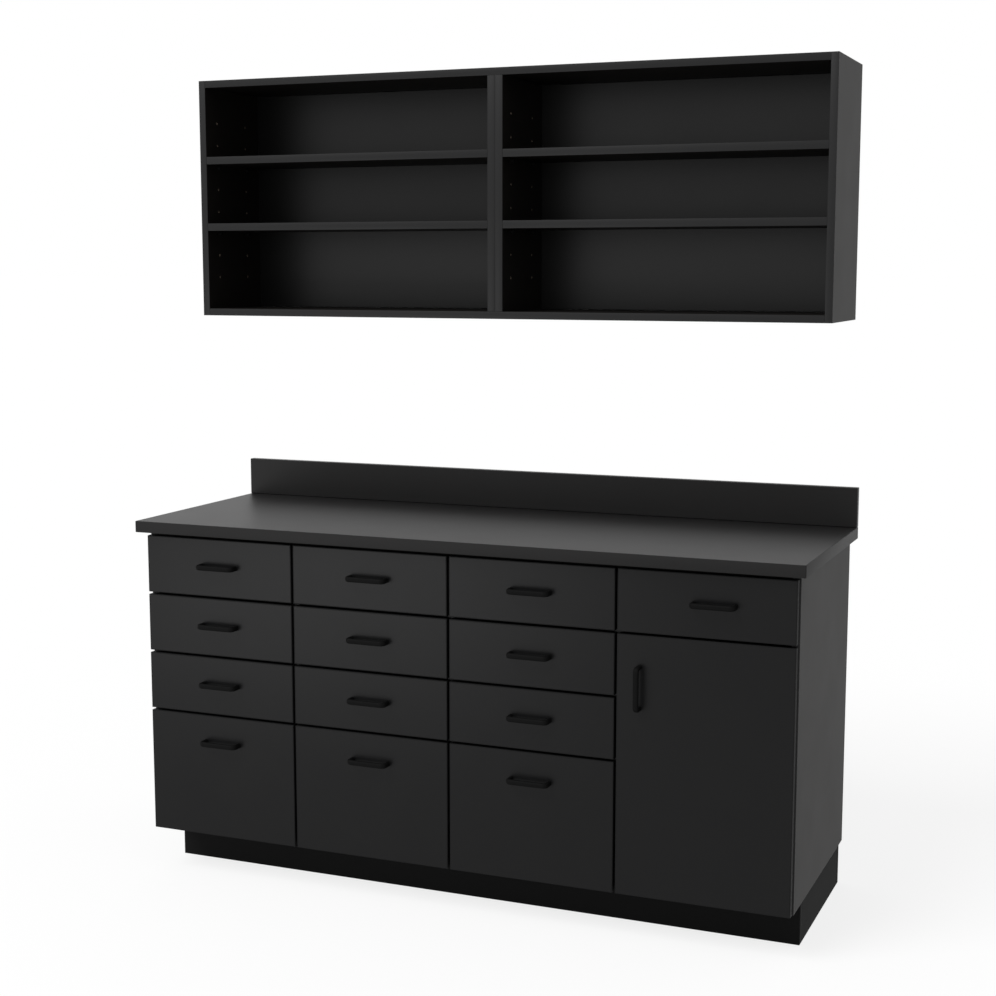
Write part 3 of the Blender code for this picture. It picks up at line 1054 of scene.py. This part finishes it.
@dataclass
class DrawerBank:
    """All the drawers: the first of each size is modelled, and the others are copies of it."""

    carcass: Carcass
    pulls: PullKit

    def build(self) -> None:
        """Make every drawer that the frame has."""
        models: dict[tuple[float, ...], tuple[Drawer, dict[str, Workpiece]]] = {}
        for name in sorted(body for body in frame["bodies"] if body.startswith("drawer_")):
            drawer = Drawer(name, *self.carcass.opening(COLUMNS.index(name.split("_")[1][0])))
            if drawer.size in models:
                model, parts = models[drawer.size]
                move = Matrix.Translation(drawer.low - model.low)
                pieces = {word: work.copy(f"{name}_{word}", move) for word, work in parts.items()}
            else:
                pieces = drawer.pieces()
                models[drawer.size] = (drawer, pieces)
            self.hand_over(drawer, pieces)

    def hand_over(self, drawer: Drawer, pieces: dict[str, Workpiece]) -> None:
        """Let a drawer's pieces ride, and fit its pull.

        Args:
            drawer: The drawer.
            pieces: Its pieces by the last word of their names.
        """
        pieces["front"].hand_over(drawer.name, Slot.LAMINATE, drawer.name)
        pieces["box"].hand_over(drawer.name, Slot.LAMINATE)
        pieces["bottom"].hand_over(drawer.name, Slot.LAMINATE)
        pieces["slides"].hand_over(drawer.name, Slot.STEEL)
        pieces["runners"].hand_over(CABINET, Slot.STEEL)
        self.pulls.fit(f"{drawer.name}_pull", drawer.name, drawer.inside_of_front)


@dataclass
class CupboardDoor:
    """The door, its pull and its two concealed hinges."""

    pulls: PullKit
    screws: ScrewKit
    flange_width: float = 0.016
    flange_corner: float = 0.005
    flange_steps: int = 5
    flange_thickness: float = 0.001
    cup_wall: float = 0.0014
    cup_eased: float = 0.00035
    cup_floor: float = 0.0025
    cup_sides: int = 48
    flange_screw_inset: float = 0.005
    plate_screw_inset: float = 0.010
    plate_thickness: float = 0.003
    plate_setback: float = 0.028
    plate_corner: float = 0.004
    plate_steps: int = 4
    arm_height: float = 0.016
    arm_lap: float = 0.002
    arm_round: float = 0.002
    arm_steps: int = 3
    seat: float = 0.0001

    def build(self) -> None:
        """Make the door with its pull and hinges."""
        low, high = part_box("cupboard_door")
        slab = Front("cupboard_door_slab", low, high).build()
        for place in ("upper", "lower"):
            slab.cut(self.pocket(f"{place}_hinge_cup"))
        slab.hand_over(DOOR, Slot.LAMINATE, "cupboard_door")
        self.pulls.fit("door_pull", DOOR, high.y)
        for place in ("upper", "lower"):
            self.cup(f"{place}_hinge_cup")
            self.arm(f"{place}_hinge_arm")

    def pocket(self, node: str) -> Workpiece:
        """Model the hole that a hinge's cup sits in.

        Args:
            node: The cup's node.

        Returns:
            The hole as a solid shape, with the board's bare core on it.
        """
        low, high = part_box(node)
        middle = (low + high) / 2
        radius = (high.x - low.x) / 2 + self.seat
        deep = Vector((middle.x, low.y - self.seat, middle.z))
        past = Vector((middle.x, high.y + self.cup_wall, middle.z))
        return Workpiece.rod("cup_pocket", deep, past, radius, self.cup_sides).coat(BOARD_CORE)

    def cup(self, node: str) -> None:
        """Make a hinge's cup, with its flange and screws.

        Args:
            node: The cup's node.
        """
        low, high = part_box(node)
        middle = (low + high) / 2
        radius = (high.x - low.x) / 2
        rim = Vector((middle.x, high.y, middle.z))
        floor = Vector((middle.x, low.y, middle.z))
        body = Workpiece.rod(f"{node}_pressing", floor, rim, radius, self.cup_sides).coat(NICKEL)
        depth = high.y - low.y - self.cup_floor
        with body.edit():
            body.pick(Element.FACE, lambda face: face.normal.y > FLAT)
            body.inset(self.cup_wall)
            body.pull_out(Vector((0, -depth, 0)))
            body.pick_sharp()
            body.round(self.cup_eased)
        half = self.flange_width / 2
        start = Vector((middle.x - half, high.y - self.flange_thickness, low.z))
        end = Vector((middle.x + half, high.y, high.z))
        flange = Workpiece.block("flange", start, end).coat(NICKEL)
        with flange.edit():
            flange.pick(Element.EDGE, lambda edge: extent(edge, Axis.Y) > self.flange_thickness / 2)
            flange.round(self.flange_corner, self.flange_steps)
        past = rim + (rim - floor)
        flange.cut(Workpiece.rod("mouth", floor, past, radius - self.cup_wall / 2, self.cup_sides))
        lug = Vector((0, 0, (high.z - low.z) / 2 - self.flange_screw_inset))
        heads = self.screws.drive("flange_screws", [rim - lug, rim + lug], BACKWARDS)
        Workpiece.joined(f"{node}_pressing", [body, flange, heads]).hand_over(DOOR, Slot.STEEL, node)

    def arm(self, node: str) -> None:
        """Make a hinge's arm, with its plate and screws on the side panel.

        Args:
            node: The arm's node.
        """
        low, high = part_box(node)
        middle = (low + high) / 2
        near = low.y + self.plate_setback
        start = Vector((high.x - self.plate_thickness, near, low.z))
        plate = Workpiece.block(f"{node}_pressing", start, high).coat(NICKEL)
        with plate.edit():
            plate.pick(Element.EDGE, lambda edge: extent(edge, Axis.X) > self.plate_thickness / 2)
            plate.round(self.plate_corner, self.plate_steps)
        half = self.arm_height / 2
        start = Vector((low.x, low.y, middle.z - half))
        end = Vector((high.x - self.plate_thickness / 2, high.y - self.arm_lap, middle.z + half))
        bar = Workpiece.block("bar", start, end).coat(NICKEL)
        with bar.edit():
            bar.pick_sharp()
            bar.round(self.arm_round, self.arm_steps)
        face = Vector((high.x - self.plate_thickness, (near + high.y) / 2, middle.z))
        lug = Vector((0, 0, (high.z - low.z) / 2 - self.plate_screw_inset))
        heads = self.screws.drive("plate_screws", [face - lug, face + lug], Vector((-1, 0, 0)))
        Workpiece.joined(f"{node}_pressing", [plate, bar, heads]).hand_over(CABINET, Slot.STEEL, node)


@dataclass
class WallUnit:
    """The open wall unit: its frame of boards, its backs, and the shelves on their pins."""

    board: float = 0.018
    upright: float = 0.0195
    eased: float = 0.0003
    hole_margin: float = 0.100
    hole_pitch: float = 0.0571
    hole_rows: int = 8
    hole_radius: float = 0.003
    hole_depth: float = 0.010
    hole_sides: int = 20
    used_rows: tuple[int, ...] = (2, 5)
    pins: ShelfPins = field(default_factory=ShelfPins)

    def rows(self) -> tuple[float, float]:
        """Give the y of the front and the back row of pin holes."""
        low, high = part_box("wall_top")
        return self.pins.rows(low.y, high.y)

    def height(self, row: int) -> float:
        """Give the height of a row of pin holes."""
        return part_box("wall_bottom")[0].z + self.hole_margin + row * self.hole_pitch

    def panels(self) -> dict[str, tuple[float, float]]:
        """Give each upright panel's hidden face and the face that the shelves meet.

        Returns:
            The x of the two faces, by the panel's node.
        """
        left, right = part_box("wall_left_side")[0].x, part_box("wall_right_side")[1].x
        near_left, near_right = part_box("wall_left_upright")[1].x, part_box("wall_right_upright")[0].x
        return {
            "wall_left_side": (left, left + self.board),
            "wall_left_upright": (near_left, near_left - self.upright),
            "wall_right_upright": (near_right, near_right + self.upright),
            "wall_right_side": (right, right - self.board),
        }

    def build(self) -> None:
        """Make the unit's boards, shelves and pins."""
        for node, (hidden, shown) in self.panels().items():
            self.panel(node, hidden, shown)
        for node in ("wall_top", "wall_bottom"):
            Board.fit(node, Axis.Z)
        for side in ("left", "right"):
            Board.fit(f"wall_{side}_back", Axis.Y, BLACK_BACK)
            for level, row in zip(("lower", "upper"), self.used_rows):
                node = f"wall_{side}_{level}_shelf"
                Board.fit(node, Axis.Z)
                self.shelf_pins(node, side, row)

    def panel(self, node: str, hidden: float, shown: float) -> None:
        """Make an upright panel with its free pin holes.

        Args:
            node: The panel's node.
            hidden: The x of the face away from the shelves.
            shown: The x of the face that the shelves meet.
        """
        low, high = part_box(node)
        low.x, high.x = sorted((hidden, shown))
        work = Board(f"{node}_board", low, high, Axis.X, eased=self.eased).build()
        way = math.copysign(1, shown - hidden)
        drills = []
        for row in range(self.hole_rows):
            if row in self.used_rows:
                continue
            for y in self.rows():
                deep = Vector((shown - way * self.hole_depth, y, self.height(row)))
                mouth = deep + Vector((2 * way * self.hole_depth, 0, 0))
                drill = Workpiece.rod("drill", deep, mouth, self.hole_radius, self.hole_sides)
                drills.append(drill.coat(BOARD_CORE))
        work.cut(Workpiece.joined("drills", drills))
        work.hand_over(CABINET, Slot.LAMINATE, node)

    def shelf_pins(self, shelf: str, side: str, row: int) -> None:
        """Make the four pins under a shelf.

        Args:
            shelf: The shelf's node.
            side: The side of the unit that it is on, left or right.
            row: The row of holes that its pins are in.
        """
        panels = [
            (shown, 1 if shown > hidden else -1)
            for node, (hidden, shown) in self.panels().items()
            if node.startswith(f"wall_{side}")
        ]
        self.pins.build(f"{shelf}_pins", panels, self.rows(), self.height(row))


@dataclass
class Studio:
    """The white floor, the soft light and the camera at the photograph's viewpoint."""

    camera_at: Point = (1.6206, -3.9063, 1.5550)
    camera_down: float = 0.1352
    camera_turn: float = 0.3899
    focal_mm: float = 62.00
    sensor_mm: float = 36.0
    floor_size: float = 400.0
    floor_colour: str = "f7f7f7"
    ambient: float = 0.62
    sun_strength: float = 1.9
    sun_softness: float = math.radians(30)
    sun_tilt: float = math.radians(40)
    sun_turn: float = math.radians(-35)
    panel_at: Point = (-1.40, -2.44, 0.45)
    panel_size: tuple[float, float] = (1.6, 0.8)
    panel_power: float = 9.5
    panel_target: Point = (-0.42, -0.28, 0.80)
    floor_glow: float = 0.8

    def set_up(self) -> None:
        """Make the floor, the light and the camera."""
        self.lay_floor()
        self.light()
        self.aim()
        bpy.context.scene.view_settings.view_transform = "Standard"

    def lay_floor(self) -> None:
        """Make the floor, which the camera and reflections see nearly white, with a light shadow on it."""
        bpy.ops.object.select_all(action="DESELECT")
        bpy.ops.mesh.primitive_plane_add(size=self.floor_size)
        floor = bpy.context.object
        floor.name = "floor"
        material = bpy.data.materials.new("white_painted_floor")
        material.use_nodes = True
        tree = material.node_tree
        shader = tree.nodes["Principled BSDF"]
        shader.inputs["Base Color"].default_value = linear(self.floor_colour)
        shader.inputs["Roughness"].default_value = 1.0
        shader.inputs["Specular IOR Level"].default_value = 0.0
        share = {"operation": "MULTIPLY", 1: self.floor_glow}
        seen = add_node(tree, "ShaderNodeMath", share, {0: self.seen(tree)}).outputs[0]
        glow = add_node(tree, "ShaderNodeEmission", {"Color": WHITE, "Strength": 1.0})
        links = {0: seen, 1: shader.outputs[0], 2: glow.outputs[0]}
        mix = add_node(tree, "ShaderNodeMixShader", {}, links)
        tree.links.new(mix.outputs[0], tree.nodes["Material Output"].inputs["Surface"])
        floor.data.materials.append(material)

    def seen(self, tree: Tree) -> Socket:
        """Tell the rays that see a background from those that only carry light.

        Args:
            tree: The node tree that asks.

        Returns:
            1 for camera, glossy and transmission rays, 0 for the others.
        """
        path = add_node(tree, "ShaderNodeLightPath").outputs
        seen = path["Is Camera Ray"]
        for ray in ("Is Glossy Ray", "Is Transmission Ray"):
            rays = {0: seen, 1: path[ray]}
            seen = add_node(tree, "ShaderNodeMath", {"operation": "MAXIMUM"}, rays).outputs[0]
        return seen

    def light(self) -> None:
        """Make the white surroundings, the soft key light and the low panel at the front left."""
        world = bpy.data.worlds.new("white_studio")
        bpy.context.scene.world = world
        world.use_nodes = True
        tree = world.node_tree
        tree.nodes.clear()
        shade = add_node(tree, "ShaderNodeBackground", {"Color": WHITE, "Strength": self.ambient})
        white = add_node(tree, "ShaderNodeBackground", {"Color": WHITE, "Strength": 1.0})
        links = {0: self.seen(tree), 1: shade.outputs[0], 2: white.outputs[0]}
        mix = add_node(tree, "ShaderNodeMixShader", {}, links)
        add_node(tree, "ShaderNodeOutputWorld", {}, {"Surface": mix.outputs[0]})
        bpy.ops.object.light_add(type="SUN")
        sun = bpy.context.object
        sun.data.energy = self.sun_strength
        sun.data.angle = self.sun_softness
        sun.rotation_euler = (self.sun_tilt, 0, self.sun_turn)
        bpy.ops.object.light_add(type="AREA", location=self.panel_at)
        panel = bpy.context.object
        panel.data.shape = "RECTANGLE"
        panel.data.size, panel.data.size_y = self.panel_size
        panel.data.energy = self.panel_power
        aim = Vector(self.panel_target) - Vector(self.panel_at)
        panel.rotation_euler = aim.to_track_quat("-Z", "Y").to_euler()
        panel.visible_camera = False

    def aim(self) -> None:
        """Put the camera at the photograph's viewpoint."""
        turn = (math.pi / 2 - self.camera_down, 0, self.camera_turn)
        bpy.ops.object.camera_add(location=self.camera_at, rotation=turn)
        camera = bpy.context.object
        camera.data.sensor_width = self.sensor_mm
        camera.data.lens = self.focal_mm
        bpy.context.scene.camera = camera


def main() -> None:
    """Build the sub-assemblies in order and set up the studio."""
    logging.basicConfig(level=logging.INFO, format="%(name)s %(message)s")
    screws = ScrewKit()
    pulls = PullKit(screws)
    carcass = Carcass()
    WorktopUnit().build()
    carcass.build()
    DrawerBank(carcass, pulls).build()
    CupboardDoor(pulls, screws).build()
    WallUnit().build()
    pulls.put_away()
    screws.put_away()
    Studio().set_up()


if __name__ == "__main__":
    main()
